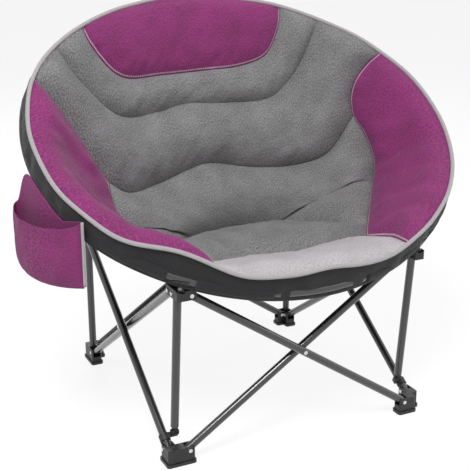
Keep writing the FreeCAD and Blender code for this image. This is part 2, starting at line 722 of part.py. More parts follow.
make_crosses()
for foot_name, foot_sx, foot_sy in (("foot_front_left", -1, -1), ("foot_front_right", 1, -1),
                                    ("foot_rear_left", -1, 1), ("foot_rear_right", 1, 1)):
    make_foot(foot_name, foot_sx, foot_sy)
for hub_name, hub_sx, hub_sy in (("hub_front_left", -1, -1), ("hub_front_right", 1, -1),
                                 ("hub_rear_left", -1, 1), ("hub_rear_right", 1, 1)):
    make_hub(hub_name, hub_sx, hub_sy)
for side_name, side_sx in (("left", -1), ("right", 1)):
    make_front_post("front_post_" + side_name, side_sx)
    make_collar("slide_collar_" + side_name, side_sx)
    make_upright("rear_upright_" + side_name, side_sx)
make_arcs()
make_link()
make_sleeves()
make_soft()
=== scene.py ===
import json
import math

import bmesh
import bpy
import numpy as np
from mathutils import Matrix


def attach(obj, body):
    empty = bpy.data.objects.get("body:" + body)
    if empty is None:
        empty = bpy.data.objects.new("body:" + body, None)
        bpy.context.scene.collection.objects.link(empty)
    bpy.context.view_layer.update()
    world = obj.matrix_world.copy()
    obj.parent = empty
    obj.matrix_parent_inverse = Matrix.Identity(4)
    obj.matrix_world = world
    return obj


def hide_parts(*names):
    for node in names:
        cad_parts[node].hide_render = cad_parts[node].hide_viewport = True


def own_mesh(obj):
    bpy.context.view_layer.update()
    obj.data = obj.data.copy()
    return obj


bl_info = {
    "name": "Folding saucer chair",
    "version": (1, 0, 0),
    "blender": (4, 5, 0),
    "location": "View3D > Sidebar > Saucer Chair",
    "description": "Dresses the folding saucer chair with its padded bowl, sleeves, pocket and finishes",
    "category": "Add Mesh",
}

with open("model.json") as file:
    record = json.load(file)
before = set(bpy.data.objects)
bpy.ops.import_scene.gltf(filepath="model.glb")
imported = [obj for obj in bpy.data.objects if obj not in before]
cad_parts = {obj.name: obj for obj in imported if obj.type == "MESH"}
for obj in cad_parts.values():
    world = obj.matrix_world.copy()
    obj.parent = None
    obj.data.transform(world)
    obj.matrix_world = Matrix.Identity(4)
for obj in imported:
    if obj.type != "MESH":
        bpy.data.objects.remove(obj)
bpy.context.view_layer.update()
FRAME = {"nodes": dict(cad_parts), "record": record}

# Shared measures, in metres unless a name says otherwise
RIM_RISE_RUN = 0.016        # how fast the padding rises from the rim
PUCKER_REACH = 0.034        # how far puckers run from a seam
NO_SEAM = 9.0               # a gap that stands for no seam near
RING_RUN = 0.45             # run along the ring for each radian
SHELL_INSET = 0.0125        # the shell hangs this far inside the ring's line
SQUARE_TO_RING = np.array([0.0, -0.59, 0.80])
LINK_HALF = 0.088           # half the front link, from the middle to its joint
POST_OUT = 0.287            # from the middle to a saddle, across
FLOOR_HALF = 40
CAMERA_PLACE = (-1.011, -1.993, 1.116)
CAMERA_DOWN, CAMERA_TURN = 17.9, 26.2   # degrees
CAMERA_LENS = 76.5          # millimetres
LAMPS = (("key_light", (-1.6, -1.9, 3.6), 120.0, 1.3),
         ("fill_light", (2.8, -1.6, 2.2), 34.0, 2.0),
         ("back_light", (0.6, 3.0, 2.8), 40.0, 2.0))

# Side pocket: place round the ring and half length in degrees, the rest in metres
POCKET_MIDDLE, POCKET_HALF = -74.5, 19.0
POCKET_OFF_RING, POCKET_HALF_THICK = 0.0315, 0.0175
POCKET_MOUTH, POCKET_BASE = 0.528, 0.392


# Properties a user would change

class SaucerSizes(bpy.types.PropertyGroup):
    """Sizes of the soft goods, in metres"""
    ring_half_width: bpy.props.FloatProperty(
        name="Ring half width", description="Half the width of the seat ring",
        default=0.5, unit="LENGTH")
    ring_half_depth: bpy.props.FloatProperty(
        name="Ring half depth", description="Half the length of the ring up its tilt",
        default=0.43, unit="LENGTH")
    ring_side_radius: bpy.props.FloatProperty(
        name="Ring side radius", description="Radius of the ring's two side arcs",
        default=0.385, unit="LENGTH")
    ring_height: bpy.props.FloatProperty(
        name="Ring height", description="Height of the ring's centre over the floor",
        default=0.633, unit="LENGTH")
    ring_tilt: bpy.props.FloatProperty(
        name="Ring tilt", description="Slope of the ring's plane, the back stands high",
        default=math.radians(36.4), subtype="ANGLE")
    bowl_depth: bpy.props.FloatProperty(
        name="Bowl depth", description="Depth of the hanging shell below the ring's plane",
        default=0.33, unit="LENGTH")
    bowl_low: bpy.props.FloatProperty(
        name="Bowl low point", description="Where the bowl is deepest, up the tilt",
        default=-0.07, unit="LENGTH")
    rim_rise: bpy.props.FloatProperty(
        name="Rim rise", description="Height of the padding's edge over the ring's plane",
        default=0.036, unit="LENGTH")
    pad: bpy.props.FloatProperty(
        name="Padding", description="Thickness of the padding between its seams and the shell",
        default=0.040, unit="LENGTH")
    crown: bpy.props.FloatProperty(
        name="Crown", description="How far a panel swells between its seams",
        default=0.044, unit="LENGTH")
    softness: bpy.props.FloatProperty(
        name="Softness", description="How slowly the padding rises from a seam",
        default=0.036, unit="LENGTH")
    left_wing_fold: bpy.props.FloatProperty(
        name="Left wing fold", description="How far the left wing's edge stands up and in",
        default=0.72, subtype="FACTOR")
    right_wing_fold: bpy.props.FloatProperty(
        name="Right wing fold", description="How far the right wing's edge stands up and in",
        default=0.10, subtype="FACTOR")
    lip_fold: bpy.props.FloatProperty(
        name="Lip fold", description="How far the front lip's edge stands up and in",
        default=0.60, subtype="FACTOR")
    binding: bpy.props.FloatProperty(
        name="Binding radius", description="Radius of the rolled binding round the edge",
        default=0.0046, unit="LENGTH")
    sleeve: bpy.props.FloatProperty(
        name="Sleeve radius", description="Outer radius of the cloth sleeve on the ring",
        default=0.0128, unit="LENGTH")


class SaucerColours(bpy.types.PropertyGroup):
    """Colours of cloth, tube and plastic"""
    purple: bpy.props.FloatVectorProperty(
        name="Heather purple", description="Head panel, wings and pocket",
        default=(0.250, 0.036, 0.158), subtype="COLOR")
    grey: bpy.props.FloatVectorProperty(
        name="Heather grey", description="Seat and back panels",
        default=(0.215, 0.215, 0.217), subtype="COLOR")
    light: bpy.props.FloatVectorProperty(
        name="Light grey", description="Front lip panel",
        default=(0.50, 0.475, 0.49), subtype="COLOR")
    binding: bpy.props.FloatVectorProperty(
        name="Binding", description="Rolled binding and its overlock thread",
        default=(0.46, 0.43, 0.445), subtype="COLOR")
    thread: bpy.props.FloatVectorProperty(
        name="Thread", description="Stitching beside the seams",
        default=(0.62, 0.46, 0.52), subtype="COLOR")
    black: bpy.props.FloatVectorProperty(
        name="Black cloth", description="Shell, rim band and sleeves",
        default=(0.022, 0.022, 0.024), subtype="COLOR")
    tube: bpy.props.FloatVectorProperty(
        name="Tube coat", description="Powder coat of the tubes",
        default=(0.022, 0.0225, 0.024), subtype="COLOR")
    plastic: bpy.props.FloatVectorProperty(
        name="Plastic", description="Feet, hubs, collars and saddles",
        default=(0.013, 0.013, 0.0135), subtype="COLOR")


# Mesh building from whole arrays

def unit(a):
    """Vectors scaled to length one; a vector with no length is left as it is."""
    length = np.linalg.norm(a, axis=-1, keepdims=True)
    return a / np.where(length > 1e-9, length, 1.0)


def quads(rows, cols, wrap=False):
    """Faces of a grid: each cell's four corners, counted along rows then columns."""
    i, j = np.meshgrid(np.arange(rows - 1), np.arange(cols if wrap else cols - 1), indexing="ij")
    k = (j + 1) % cols
    return np.stack([i * cols + j, i * cols + k, (i + 1) * cols + k, (i + 1) * cols + j],
                    axis=-1).reshape(-1, 4)


def piece(name, points, faces, finish, weave=None, marks=None):
    """New object from points and faces, with a weave map in metres and named point values."""
    mesh = bpy.data.meshes.new(name)
    mesh.from_pydata(points.reshape(-1, 3).tolist(), [], [list(f) for f in faces])
    corners = np.empty(len(mesh.loops), dtype=np.int32)
    mesh.loops.foreach_get("vertex_index", corners)
    if weave is not None:
        layer = mesh.uv_layers.new(name="weave")
        layer.data.foreach_set("uv", weave.reshape(-1, 2)[corners].astype(np.float32).ravel())
    for label, values in (marks or {}).items():
        store = mesh.attributes.new(label, "FLOAT", "POINT")
        store.data.foreach_set("value", values.astype(np.float32).ravel())
    mesh.polygons.foreach_set("use_smooth", np.ones(len(mesh.polygons), dtype=bool))
    mesh.materials.append(finish)
    mesh.validate()
    thing = bpy.data.objects.new(name, mesh)
    bpy.context.scene.collection.objects.link(thing)
    return thing


def ripple(x, y, step, seed):
    """Soft unevenness from -1 to 1: a mean of nine sines that run in nine directions."""
    pick = np.random.default_rng(seed)
    total = np.zeros_like(x + y)
    for turn, phase, size in zip(pick.uniform(0, math.pi, 9), pick.uniform(0, 6.28, 9),
                                 pick.uniform(0.6, 1.7, 9)):
        total += np.sin((x * math.cos(turn) + y * math.sin(turn)) * 6.283 / (step * size) + phase)
    return total / 4.0


# The bowl, in ring terms: u across, v up the tilt, w above the ring's plane

def at(size, u, v, w):
    """Ring terms to metres: u goes along X, v up the slope and w square to both."""
    c, s = math.cos(size.ring_tilt), math.sin(size.ring_tilt)
    return np.stack([u + 0 * v, v * c - w * s, size.ring_height + v * s + w * c], axis=-1)


def ring_normal(size):
    return np.array([0.0, -math.sin(size.ring_tilt), math.cos(size.ring_tilt)])


def oval_arcs(size):
    """The oval's arcs, which meet smoothly: the radius of the front and back arcs, the radius
    and offset of the side arcs, and the angle off the front at which they meet."""
    side, deep = size.ring_side_radius, size.ring_half_depth
    out = size.ring_half_width - side
    end = (out ** 2 + deep ** 2 - side ** 2) / (2 * (deep - side))
    return end, side, out, math.atan2(out, end - deep)


def oval(size, turn, inset=0.0):
    """Point of the oval whose outward normal turns by an angle from the front, to the right."""
    end, side, out, join = oval_arcs(size)
    s, c = np.sin(turn), -np.cos(turn)
    tip = np.arctan2(np.abs(s), np.abs(c)) < join
    reach = np.where(tip, end, side)
    u = np.where(tip, 0.0, np.sign(s) * out) + reach * s
    v = np.where(tip, -np.sign(c) * (end - size.ring_half_depth), 0.0) + reach * c
    return u - inset * s, v - inset * c


def half_width(size, v, inset=0.0):
    """Half width of the oval, drawn in by an inset, at a height v up the tilt."""
    end, side, out, join = oval_arcs(size)
    h = np.abs(v)
    rise = h + end - size.ring_half_depth
    end, side = end - inset, side - inset
    return np.where(h <= side * math.cos(join),
                    out + np.sqrt(np.maximum(side ** 2 - h ** 2, 0)),
                    np.sqrt(np.maximum(end ** 2 - rise ** 2, 1e-8)))


def sag(size, v, deep):
    """Depth on the middle line: full at the low point, nought at front and back."""
    low, d = size.bowl_low, size.ring_half_depth
    front = np.clip((low - v) / (low + d), 0, 1)
    back = np.clip((v - low) / (d - low), 0, 1)
    return np.maximum(deep * np.where(v < low, 1 - front ** 1.25, 1 - back ** 1.35), 1e-5)


def bowl(size, u, v, deep, rim, inset=0.0):
    """Height over the ring's plane: an arc across the bowl through rim, sag and rim."""
    a = half_width(size, v, inset)
    d = sag(size, v, deep)
    r = (a ** 2 + d ** 2) / (2 * d)
    return rim + r - d - np.sqrt(np.maximum(r ** 2 - np.minimum(np.abs(u), a) ** 2, 0))


def rim_gap(size, u, v):
    """Distance from a point inside the oval to its edge."""
    end, side, out, join = oval_arcs(size)
    far = np.abs(v) + end - size.ring_half_depth
    tip = np.arctan2(np.abs(u), far) < join
    return np.where(tip, end - np.hypot(u, far), side - np.hypot(np.abs(u) - out, v))


def edge_shift(size, u, v):
    """How the padding's edge stands off the oval, in metres: drawn in and up where the wings
    fold over and along the lip, as three soft humps round the front, with small scallops."""
    turn = np.degrees(np.arctan2(u, -v))
    hump = (size.left_wing_fold * np.exp(-((turn + 41) / 13) ** 2)
            + size.lip_fold * np.exp(-(turn / 18) ** 2)
            + size.right_wing_fold * np.exp(-((turn - 41) / 13) ** 2))
    scallop = ripple(np.cos(np.radians(turn)), np.sin(np.radians(turn)), 0.42, 5)
    fade = np.exp(-np.maximum(rim_gap(size, u, v), 0) / 0.09)
    middle = unit(np.stack([-u, -v], axis=-1))
    inward = (0.030 * hump + 0.0018 * scallop) * fade
    upward = (0.018 * hump + 0.0032 * scallop) * fade
    across = np.array([1.0, 0.0, 0.0])
    uphill = np.array([0.0, math.cos(size.ring_tilt), math.sin(size.ring_tilt)])
    return (inward[..., None] * (middle[..., :1] * across + middle[..., 1:] * uphill)
            + upward[..., None] * ring_normal(size))


def pad_depth(size):
    """Depth of the padding's seam surface: the shell's, less the padding."""
    return size.bowl_depth + size.rim_rise - size.pad


def pad_face(size, u, v):
    """The padding's seam surface: a bowl over the shell, with its edge shifted."""
    return at(size, u, v, bowl(size, u, v, pad_depth(size), size.rim_rise)) + edge_shift(size, u, v)


# Seams of the padding, as (share of the half width, share of the half depth)

HEAD_SEAM = ((-1, 0.80), (-0.78, 0.72), (-0.50, 0.63), (-0.23, 0.66), (0.05, 0.675),
             (0.28, 0.67), (0.45, 0.68), (0.57, 0.72), (0.78, 0.81), (1, 0.88))
UPPER_SEAM = ((-1, 0.66), (-0.72, 0.55), (-0.46, 0.45), (-0.25, 0.49), (-0.08, 0.53),
              (0.15, 0.515), (0.36, 0.49), (0.50, 0.53), (0.68, 0.62), (1, 0.76))
LOWER_SEAM = ((-0.50, 0.10), (-0.40, 0.075), (-0.26, 0.14), (-0.10, 0.215), (0.02, 0.235),
              (0.22, 0.17), (0.39, 0.12), (0.53, 0.115), (0.70, 0.23))
LEFT_WING_TOP = ((-1, 0.45), (-0.83, 0.38), (-0.71, 0.30), (-0.59, 0.19), (-0.50, 0.10))
RIGHT_WING_TOP = ((0.70, 0.23), (0.74, 0.33), (0.81, 0.40), (0.90, 0.44), (1, 0.46))
LEFT_WING_SIDE = ((-0.52, -0.66), (-0.46, -0.50), (-0.43, -0.33), (-0.45, -0.18),
                  (-0.495, -0.05), (-0.50, 0.10))
RIGHT_WING_SIDE = ((0.53, -0.62), (0.555, -0.48), (0.60, -0.31), (0.67, -0.11), (0.70, 0.07),
                   (0.70, 0.23))
CREASE = ((-0.435, -0.33), (-0.24, -0.23), (-0.11, -0.145), (0.05, -0.11), (0.24, -0.18),
          (0.40, -0.36), (0.55, -0.50))
LIP_SEAM = ((-0.52, -0.66), (-0.38, -0.63), (-0.10, -0.52), (0.07, -0.575), (0.23, -0.55),
            (0.34, -0.575), (0.53, -0.62))
LEFT_LIP_SIDE = ((-1, -0.89), (-0.86, -0.84), (-0.69, -0.75), (-0.52, -0.66))
RIGHT_LIP_SIDE = ((1, -0.89), (0.87, -0.85), (0.70, -0.75), (0.53, -0.62))


def smooth_line(points, count):
    """Points evenly spaced by length on a smooth curve (Catmull-Rom) through given ones."""
    p = np.array(points, float)
    p = np.vstack([2 * p[0] - p[1], p, 2 * p[-1] - p[-2]])
    t = np.linspace(0, 1, 24, endpoint=False)[:, None]
    parts = []
    for a, b, c, d in zip(p[:-3], p[1:-2], p[2:-1], p[3:]):
        parts.append(0.5 * (2 * b + (c - a) * t + (2 * a - 5 * b + 4 * c - d) * t ** 2
                            + (3 * b - a - 3 * c + d) * t ** 3))
    return spaced(np.vstack(parts + [p[-2:-1]]), count)


def seam(size, points, count):
    """A seam in ring terms: its shares times the bowl's half width and half depth."""
    raw = np.array(points, float)
    v = raw[:, 1] * size.ring_half_depth
    a = half_width(size, v)
    turn = 2 * np.arctan2(sag(size, v, pad_depth(size)), a)
    u = a * np.sin(raw[:, 0] * turn) / np.sin(turn)
    u = np.where(np.abs(raw[:, 0]) == 1, np.sign(raw[:, 0]) * a, u)
    return smooth_line(np.stack([u, v], axis=-1), count)


def rim_line(size, start, end, count):
    """The rim between two heights, each (side, share of half depth), round front or back."""
    turns = np.linspace(-math.pi, math.pi, 4001)
    u, v = oval(size, turns)
    ends = []
    for side, share in (start, end):
        miss = np.abs(v - share * size.ring_half_depth) + NO_SEAM * (np.sign(u) != side)
        ends.append(turns[miss.argmin()])
    if start[1] > 0 and end[1] > 0 and start[0] != end[0]:
        ends[0] += 2 * math.pi if ends[0] < 0 else 0
    u, v = oval(size, np.linspace(ends[0], ends[1], count))
    return np.stack([u, v], axis=-1)


def spaced(line, count):
    """The same line with points evenly spaced by length."""
    run = np.concatenate([[0], np.cumsum(np.linalg.norm(np.diff(line, axis=0), axis=1))])
    even = np.linspace(0, run[-1], count)
    return np.stack([np.interp(even, run, line[:, k]) for k in (0, 1)], axis=-1)


def filled(bottom, top, left, right):
    """Grid between four border lines: ruled both ways, less the corners counted twice."""
    a = np.linspace(0, 1, len(bottom))[None, :, None]
    b = np.linspace(0, 1, len(left))[:, None, None]
    ruled = (1 - b) * bottom[None] + b * top[None] + (1 - a) * left[:, None] + a * right[:, None]
    corners = ((1 - a) * (1 - b) * bottom[0] + a * (1 - b) * bottom[-1]
               + (1 - a) * b * top[0] + a * b * top[-1])
    return ruled - corners


def plate_faces(rows, cols):
    """Faces of a closed plate: a grid above, the same grid turned over below, and the edge."""
    count = rows * cols
    top = quads(rows, cols)
    edge = np.concatenate([np.arange(cols), np.arange(1, rows) * cols + cols - 1,
                           (rows - 1) * cols + np.arange(cols - 2, -1, -1),
                           np.arange(rows - 2, 0, -1) * cols])
    nxt = np.roll(edge, -1)
    sides = np.stack([edge, edge + count, nxt + count, nxt], axis=-1)
    return np.concatenate([top, top[:, ::-1] + count, sides])


def border_distance(grid):
    """Distance in metres from each grid point to the nearest of the four borders."""
    gaps = []
    for axis in (0, 1):
        step = np.linalg.norm(np.diff(grid, axis=axis), axis=-1)
        pad = [(0, 0), (0, 0)]
        pad[axis] = (1, 0)
        run = np.pad(np.cumsum(step, axis=axis), pad)
        gaps += [run, run.max(axis=axis, keepdims=True) - run]
    return gaps


def panel(size, name, borders, crown, finish, seed, rim=(0, 0, 0, 0), drape=0.0):
    """Padded panel. Its face stands off the seam surface by crown times one term per border,
    1 - exp(-distance / softness), short at the rim and long at a seam, plus puckers square to
    the seams that die away from them, soft dents, and long slack folds where it drapes."""
    grid = filled(*borders)
    u, v = grid[..., 0], grid[..., 1]
    base = pad_face(size, u, v)
    normal = unit(np.cross(np.gradient(base, axis=1), np.gradient(base, axis=0)))
    normal[np.linalg.norm(normal, axis=-1) < 0.5] = ring_normal(size)
    gaps = border_distance(base)
    swell = np.ones_like(u)
    for gap, at_rim in zip(gaps, rim):
        swell = swell * (1 - np.exp(-gap / (RIM_RISE_RUN if at_rim else size.softness)))
    near = np.minimum.reduce(gaps)
    sewn = [np.where(at_rim, NO_SEAM, gap) for gap, at_rim in zip(gaps, rim)]
    level, upright = np.minimum(sewn[0], sewn[1]), np.minimum(sewn[2], sewn[3])
    pucker = np.exp(-level / PUCKER_REACH) * ripple(gaps[2], gaps[0] * 0.22, 0.040, seed)
    pucker += np.exp(-upright / PUCKER_REACH) * ripple(gaps[0], gaps[2] * 0.22, 0.040, seed + 1)
    pucker += 0.5 * np.exp(-near / 0.02) * ripple(gaps[2] + gaps[0], 0 * u, 0.016, seed + 4)
    dents = ripple(u, v, 0.13, seed + 2) * 0.0032 + ripple(u, v, 0.05, seed + 3) * 0.0014
    slack = drape * ripple(u * 0.5 + v, (u - v) * 0.16, 0.075, seed + 5)
    body = 1 - np.exp(-near / RIM_RISE_RUN)
    lift = crown * swell + (0.0030 * pucker + dents + slack) * body
    face = base + normal * lift[..., None]
    depth = 0.0012 + 0.017 * (1 - np.exp(-np.maximum(rim_gap(size, u, v), 0) / 0.17))
    under = base - normal * depth[..., None]
    points = np.concatenate([face.reshape(-1, 3), under.reshape(-1, 3)])
    weave = np.stack([u, v * 1.15], axis=-1).reshape(-1, 2)
    stitch = np.minimum(level, upright)
    marks = {"seam_gap": np.tile(stitch.ravel(), 2),
             "seam_run": np.tile((gaps[2] + gaps[0]).ravel(), 2)}
    return piece(name, points, plate_faces(*u.shape), finish, np.tile(weave, (2, 1)), marks)


def close_pole(thing):
    """Merge the points that meet at a panel's two sharp ends."""
    mesh = thing.data
    work = bmesh.new()
    work.from_mesh(mesh)
    bmesh.ops.remove_doubles(work, verts=work.verts, dist=1e-5)
    bmesh.ops.recalc_face_normals(work, faces=work.faces)
    work.to_mesh(mesh)
    work.free()


def tube(name, path, radius, finish, sides=14, closed=False, squeeze=1.0):
    """Round tube along a path: rings of a radius, each point at its squeeze share of it,
    square to the path's direction."""
    rows = len(path)
    ahead = unit(np.roll(path, -1, axis=0) - np.roll(path, 1, axis=0))
    if not closed:
        ahead[0], ahead[-1] = unit(path[1] - path[0]), unit(path[-1] - path[-2])
    side = unit(np.cross(ahead, SQUARE_TO_RING))
    high = np.cross(side, ahead)
    turn = np.linspace(0, 2 * math.pi, sides, endpoint=False)
    reach = radius * np.broadcast_to(squeeze, (rows, sides))
    ring = (np.cos(turn)[None, :, None] * side[:, None]
            + np.sin(turn)[None, :, None] * high[:, None])
    points = path[:, None] + ring * reach[..., None]
    run = np.concatenate([[0], np.cumsum(np.linalg.norm(np.diff(path, axis=0), axis=1))])
    weave = np.stack([np.repeat(run[:, None], sides, 1),
                      np.repeat((turn * np.mean(reach))[None], rows, 0)], axis=-1)
    if closed:
        faces = quads(rows + 1, sides, wrap=True) % (rows * sides)
    else:
        faces = [list(f) for f in quads(rows, sides, wrap=True)]
        faces.append(list(range(sides)))
        faces.append([(rows - 1) * sides + k for k in range(sides - 1, -1, -1)])
    thing = piece(name, points, faces, finish, weave)
    close_pole(thing)
    return thing


# Finishes

def new_finish(name):
    """Empty material with a Principled shader, and a short way to add and link nodes."""
    mat = bpy.data.materials.new(name)
    mat.use_nodes = True
    tree = mat.node_tree
    shader = tree.nodes["Principled BSDF"]

    def add(kind, values=None, **settings):
        item = tree.nodes.new(kind)
        for key, value in settings.items():
            setattr(item, key, value)
        for key, value in (values or {}).items():
            if hasattr(value, "is_output"):
                tree.links.new(value, item.inputs[key])
            else:
                item.inputs[key].default_value = value
        return item.outputs[0]

    def join(value, key):
        tree.links.new(value, shader.inputs[key])

    return mat, shader, add, join


def shades(add, factor, dark, light, low=0.3, high=0.7):
    """Colour that goes from dark to light as the factor goes from low to high."""
    out = add("ShaderNodeMapRange", {0: factor, 1: low, 2: high, 3: 0.0, 4: 1.0})
    mixed = add("ShaderNodeMix", {0: out, 6: (*dark, 1), 7: (*light, 1)}, data_type="RGBA")
    return mixed.node.outputs[2]


def cloth(name, colour, thread=None, contrast=0.38, sheen=0.10, weave_step=0.0016, rough=0.9):
    """Woven cloth: streaky heather in two shades, over-and-under weave, stitching by the seams."""
    mat, shader, add, join = new_finish(name)
    c = np.array(colour[:3])
    where = add("ShaderNodeUVMap", uv_map="weave")
    wide = add("ShaderNodeMapping", {0: where, 3: (1.0, 0.42, 1.0)})
    fleck = add("ShaderNodeTexNoise", {"Vector": wide, "Scale": 560.0, "Detail": 4.0,
                                       "Roughness": 0.75}, noise_dimensions="2D")
    patch = add("ShaderNodeTexNoise", {"Vector": where, "Scale": 16.0, "Detail": 3.0},
                noise_dimensions="2D")
    blend = add("ShaderNodeMath", {0: patch, 1: 0.16, 2: fleck}, operation="MULTIPLY_ADD")
    colour_out = shades(add, blend, tuple(c * (1 - contrast)),
                        tuple(np.minimum(c * (1 + contrast), 1)), 0.44, 0.74)
    if thread is not None:
        gap = add("ShaderNodeAttribute", attribute_name="seam_gap").node.outputs["Fac"]
        run = add("ShaderNodeAttribute", attribute_name="seam_run").node.outputs["Fac"]
        near = add("ShaderNodeMath", {0: gap, 1: 0.0050, 2: 0.0016}, operation="COMPARE")
        beat = add("ShaderNodeMath", {0: run, 1: 0.0052}, operation="MODULO")
        dash = add("ShaderNodeMath", {0: beat, 1: 0.0036}, operation="LESS_THAN")
        stitch = add("ShaderNodeMath", {0: near, 1: dash}, operation="MULTIPLY")
        mixed = add("ShaderNodeMix", {0: stitch, 6: colour_out, 7: (*thread[:3], 1)},
                    data_type="RGBA")
        colour_out = mixed.node.outputs[2]
    join(colour_out, "Base Color")
    turns = []
    for axis in ("X", "Y"):
        turns.append(add("ShaderNodeTexWave", {"Vector": where, "Scale": 1.0 / weave_step / 3.14,
                                               "Distortion": 1.2, "Detail": 1.0},
                         wave_type="BANDS", bands_direction=axis))
    weave = add("ShaderNodeMath", {0: turns[0], 1: turns[1]}, operation="MAXIMUM")
    creases = add("ShaderNodeTexNoise", {"Vector": where, "Scale": 60.0, "Detail": 4.0},
                  noise_dimensions="2D")
    height = add("ShaderNodeMath", {0: creases, 1: 2.4, 2: weave}, operation="MULTIPLY_ADD")
    bump = add("ShaderNodeBump", {"Strength": 0.55, "Distance": 0.0006, "Height": height})
    join(bump, "Normal")
    worn = add("ShaderNodeMapRange", {0: patch, 1: 0.3, 2: 0.7, 3: rough - 0.08,
                                      4: min(rough + 0.05, 1)})
    join(worn, "Roughness")
    shader.inputs["Sheen Weight"].default_value = sheen
    shader.inputs["Sheen Roughness"].default_value = 0.5
    shader.inputs["Specular IOR Level"].default_value = 0.25
    return mat


def coated_tube(colour):
    """Glossy powder coat: faint orange peel, cloudy roughness and a few dull scuffs."""
    mat, shader, add, join = new_finish("powder_coat")
    where = add("ShaderNodeTexCoord").node.outputs["Object"]
    peel = add("ShaderNodeTexNoise", {"Vector": where, "Scale": 700.0, "Detail": 2.0})
    cloud = add("ShaderNodeTexNoise", {"Vector": where, "Scale": 22.0, "Detail": 4.0})
    scuff = add("ShaderNodeTexNoise", {"Vector": where, "Scale": 120.0, "Detail": 6.0,
                                       "Roughness": 0.7})
    c = np.array(colour[:3])
    join(shades(add, scuff, tuple(c), tuple(c * 1.7), 0.60, 0.78), "Base Color")
    join(add("ShaderNodeMapRange", {0: cloud, 1: 0.3, 2: 0.7, 3: 0.20, 4: 0.34}), "Roughness")
    join(add("ShaderNodeBump", {"Strength": 0.10, "Distance": 0.0003, "Height": peel}), "Normal")
    shader.inputs["Coat Weight"].default_value = 0.8
    shader.inputs["Coat Roughness"].default_value = 0.10
    return mat


def moulded(colour):
    """Moulded black plastic: fine grain, cloudy sheen and paler rubbed spots."""
    mat, shader, add, join = new_finish("moulded_plastic")
    where = add("ShaderNodeTexCoord").node.outputs["Object"]
    grain = add("ShaderNodeTexNoise", {"Vector": where, "Scale": 1500.0, "Detail": 2.0})
    cloud = add("ShaderNodeTexNoise", {"Vector": where, "Scale": 60.0, "Detail": 4.0})
    c = np.array(colour[:3])
    join(shades(add, cloud, tuple(c), tuple(c * 2.2), 0.45, 0.75), "Base Color")
    join(add("ShaderNodeMapRange", {0: cloud, 1: 0.3, 2: 0.7, 3: 0.34, 4: 0.52}), "Roughness")
    join(add("ShaderNodeBump", {"Strength": 0.25, "Distance": 0.0002, "Height": grain}), "Normal")
    return mat


def plated():
    """Bright plated steel of pins and rivets, finely brushed."""
    mat, shader, add, join = new_finish("plated_steel")
    where = add("ShaderNodeTexCoord").node.outputs["Object"]
    fine = add("ShaderNodeTexNoise", {"Vector": where, "Scale": 900.0, "Detail": 3.0})
    join(shades(add, fine, (0.55, 0.55, 0.56), (0.80, 0.80, 0.80)), "Base Color")
    join(add("ShaderNodeMapRange", {0: fine, 1: 0.3, 2: 0.7, 3: 0.22, 4: 0.40}), "Roughness")
    shader.inputs["Metallic"].default_value = 0.9
    return mat


def rolled_binding(colour):
    """Rolled edge binding: slanted overlock threads with shaded gaps between them."""
    mat, shader, add, join = new_finish("rolled_binding")
    where = add("ShaderNodeUVMap", uv_map="weave")
    slant = add("ShaderNodeMapping", {0: where, 2: (0.0, 0.0, 0.5)})
    thread = add("ShaderNodeTexWave", {"Vector": slant, "Scale": 95.0, "Distortion": 0.6},
                 wave_type="BANDS", bands_direction="X")
    fleck = add("ShaderNodeTexNoise", {"Vector": where, "Scale": 300.0, "Detail": 3.0})
    c = np.array(colour[:3])
    blend = add("ShaderNodeMath", {0: fleck, 1: 0.5, 2: thread}, operation="MULTIPLY_ADD")
    join(shades(add, blend, tuple(c * 0.62), tuple(np.minimum(c * 1.12, 1)), 0.3, 0.9),
         "Base Color")
    join(add("ShaderNodeBump", {"Strength": 0.7, "Distance": 0.0008, "Height": thread}), "Normal")
    join(add("ShaderNodeMapRange", {0: fleck, 1: 0.3, 2: 0.7, 3: 0.8, 4: 0.95}), "Roughness")
    shader.inputs["Sheen Weight"].default_value = 0.3
    return mat


def finish(name):
    """A finish by name, made once from the scene's colours."""
    made = bpy.data.materials.get(name)
    if made:
        return made
    tint = bpy.context.scene.saucer_colours
    makers = {
        "purple_cloth": lambda: cloth("purple_cloth", tint.purple, tint.thread, 0.46),
        "grey_cloth": lambda: cloth("grey_cloth", tint.grey, None, 0.58),
        "light_cloth": lambda: cloth("light_cloth", tint.light, tint.thread, 0.26),
        "black_cloth": lambda: cloth("black_cloth", tint.black, None, 0.35, 0.15, 0.0012, 0.8),
        "powder_coat": lambda: coated_tube(tint.tube),
        "moulded_plastic": lambda: moulded(tint.plastic),
        "plated_steel": plated,
        "rolled_binding": lambda: rolled_binding(tint.binding),
    }
    return makers[name]()


def folds_with_frame(thing, *nodes, slot, fill=None):
    """Soft piece on the front link, with a mesh of its own; the frame parts it stands in for are hidden.
    """
    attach(thing, "front_link")
    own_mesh(thing)
    if nodes:
        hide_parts(*nodes)


def seen_rays(tree):
    """One for the rays that show the background: straight, mirrored or let through."""
    rays = tree.nodes.new("ShaderNodeLightPath")
    total = rays.outputs["Is Camera Ray"]
    for kind in ("Is Glossy Ray", "Is Transmission Ray"):
        more = tree.nodes.new("ShaderNodeMath")
        more.operation = "MAXIMUM"
        tree.links.new(total, more.inputs[0])
        tree.links.new(rays.outputs[kind], more.inputs[1])
        total = more.outputs[0]
    return total


# Operators

